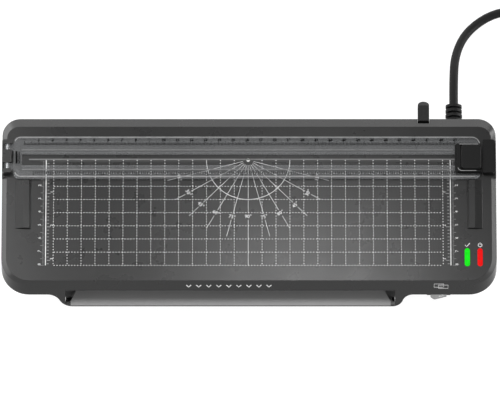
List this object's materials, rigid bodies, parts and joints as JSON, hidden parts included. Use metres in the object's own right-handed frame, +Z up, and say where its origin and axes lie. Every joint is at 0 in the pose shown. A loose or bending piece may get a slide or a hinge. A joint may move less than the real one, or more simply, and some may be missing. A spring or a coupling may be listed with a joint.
{
  "type": "pouch laminator",
  "caption": "Slim desktop pouch laminator with a front feed mouth, heated rollers inside, and a hinged clear ruler arm with a sliding paper cutter over its deck.",
  "frame": {"origin": "under the middle of the machine, on the surface it stands on; the middle is that of the covers, feed lip and release lever together", "axes": "+X to the right along the mouth, +Y from the mouth to the rear, +Z up"},
  "size_m": [0.4624, 0.2392, 0.0635],
  "materials": {
    "cover_plastic": "fine-textured charcoal moulding",
    "base_plastic": "fine-textured dark moulding",
    "lip_plastic": "satin mid-grey moulding",
    "black_plastic": "satin black moulding",
    "clear_plastic": "clear moulded acrylic",
    "strip_plastic": "soft grey cutting strip",
    "green_lens": "translucent green, lit",
    "red_lens": "translucent red, lit",
    "switch_plastic": "satin grey",
    "feet_rubber": "soft matt rubber",
    "cord_rubber": "matt black cable jacket",
    "steel": "zinc-plated sheet and bar",
    "spring_steel": "spring wire",
    "blade_steel": "ground blade steel",
    "aluminium": "mill finish",
    "mica": "mica heater sheet",
    "gear_nylon": "natural acetal",
    "bush_nylon": "heat-resistant nylon",
    "roller_rubber": "silicone rubber",
    "board": "circuit board",
    "brass": "nickel-plated brass blades"
  },
  "bodies": {
    "chassis": {"top_cover": "cover_plastic", "base_cover": "base_plastic", "rubber_feet": "feet_rubber", "base_screws": "steel", "feed_lip": "lip_plastic", "exit_guide": "black_plastic", "ready_lens": "green_lens", "power_lens": "red_lens", "cutting_strip": "strip_plastic", "side_stop_left": "cover_plastic", "side_stop_right": "cover_plastic", "hinge_bracket": "cover_plastic", "hinge_pin": "steel", "latch_block": "black_plastic", "side_frame_left": "steel", "side_frame_right": "steel", "tie_bars": "steel", "frame_screws": "steel", "lower_roller_bushes": "bush_nylon", "release_shaft_bushes": "bush_nylon", "pressure_springs": "spring_steel", "idler_axle": "steel", "motor_bracket": "steel", "gear_motor": "steel", "lower_heat_shoe": "aluminium", "lower_heater": "mica", "upper_heat_shoe": "aluminium", "upper_heater": "mica", "heat_shield": "steel", "thermal_cutouts": "steel", "control_board": "board", "led_board": "board", "terminal_block": "gear_nylon", "wire_harness": "cord_rubber", "switch_housing": "black_plastic", "strain_relief": "cord_rubber", "power_cord": "cord_rubber", "cord_coil": "cord_rubber", "cord_tie": "black_plastic", "plug_body": "cord_rubber", "plug_pins": "brass"},
    "ruler_arm": {"ruler_arm": "clear_plastic", "arm_end_cap": "clear_plastic"},
    "cutter_carriage": {"cutter_carriage": "black_plastic", "head_springs": "spring_steel"},
    "cutter_head": {"cutter_head": "black_plastic", "blade_holder": "black_plastic", "cutter_blade": "blade_steel"},
    "power_rocker": {"power_rocker": "switch_plastic"},
    "release_lever": {"release_lever": "black_plastic", "release_shaft": "steel"},
    "upper_carrier": {"upper_bearing_blocks": "bush_nylon"},
    "upper_roller": {"upper_roller_shaft": "steel", "upper_roller_sleeve": "roller_rubber", "upper_roller_gear": "gear_nylon"},
    "lower_roller": {"lower_roller_shaft": "steel", "lower_roller_sleeve": "roller_rubber", "lower_roller_gear": "gear_nylon"},
    "idler": {"idler_gear": "gear_nylon"},
    "pinion": {"motor_pinion": "gear_nylon"}
  },
  "joints": [
    {"name": "ruler_arm_hinge", "type": "hinge", "parent": "chassis", "child": "ruler_arm", "pos_m": [-0.1742, 0.0293, 0.0574], "axis": [0, -1, 0], "range_deg": [0, 70]},
    {"name": "cutter_slide", "type": "slide", "parent": "ruler_arm", "child": "cutter_carriage", "axis": [-1, 0, 0], "range_m": [0, 0.3]},
    {"name": "cutter_press", "type": "slide", "parent": "cutter_carriage", "child": "cutter_head", "axis": [0, 0, -1], "range_m": [0, 0.0017], "stiffness_N_per_m": 400, "springref_m": -0.001, "deforming": ["head_springs"]},
    {"name": "power_rocker_turn", "type": "hinge", "parent": "chassis", "child": "power_rocker", "pos_m": [0.1364, -0.063, 0.032], "axis": [0, 0, -1], "range_deg": [0, 14]},
    {"name": "release_lever_turn", "type": "hinge", "parent": "chassis", "child": "release_lever", "pos_m": [0.1253, 0.026, 0.039], "axis": [-1, 0, 0], "range_deg": [0, 25]},
    {"name": "upper_roller_lift", "type": "slide", "parent": "chassis", "child": "upper_carrier", "axis": [0, 0, 1], "range_m": [0, 0.0011], "stiffness_N_per_m": 2000, "springref_m": -0.001, "deforming": ["pressure_springs"]},
    {"name": "upper_roller_spin", "type": "hinge", "parent": "upper_carrier", "child": "upper_roller", "pos_m": [0, 0, 0.039], "axis": [1, 0, 0], "continuous": true},
    {"name": "lower_roller_spin", "type": "hinge", "parent": "chassis", "child": "lower_roller", "pos_m": [0, 0, 0.021], "axis": [1, 0, 0], "continuous": true},
    {"name": "idler_spin", "type": "hinge", "parent": "chassis", "child": "idler", "pos_m": [0.1165, -0.0185, 0.0167], "axis": [1, 0, 0], "continuous": true},
    {"name": "pinion_spin", "type": "hinge", "parent": "chassis", "child": "pinion", "pos_m": [0.1165, -0.03455, 0.0223], "axis": [1, 0, 0], "continuous": true}
  ],
  "couplings": [
    {"joint": "release_lever_turn", "follows": "upper_roller_lift", "rad_per_m": 396.66},
    {"joint": "upper_roller_spin", "follows": "lower_roller_spin", "ratio": -1},
    {"joint": "idler_spin", "follows": "lower_roller_spin", "ratio": -0.9},
    {"joint": "pinion_spin", "follows": "lower_roller_spin", "ratio": 1.2857}
  ]
}
